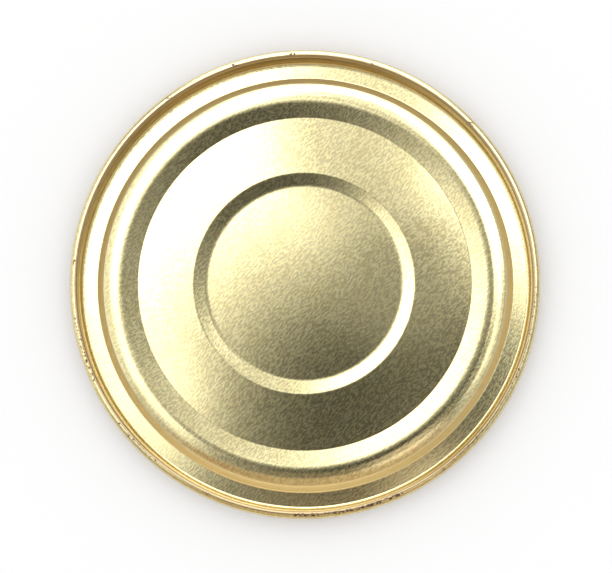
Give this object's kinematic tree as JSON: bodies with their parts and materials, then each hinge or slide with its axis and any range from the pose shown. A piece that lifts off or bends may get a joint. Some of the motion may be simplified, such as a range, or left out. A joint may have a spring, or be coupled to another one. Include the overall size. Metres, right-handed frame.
{
  "type": "can lid",
  "caption": "Round steel can lid in gold lacquer, with a rolled rim, a deep countersink, a raised bead and a stepped flat panel.",
  "frame": {"origin": "centre of the lid, level with the underside of the countersink ring that it lies on", "axes": "+Z is the lid's axis and points out of its outer face, up as it lies; X and Y are across it"},
  "size_m": [0.0762, 0.0762, 0.0036],
  "materials": {
    "gold_tinplate": "rolled tinplate under clear gold lacquer, satin, worn at the rim"
  },
  "bodies": {
    "root": {"can_lid": "gold_tinplate"}
  },
  "joints": []
}
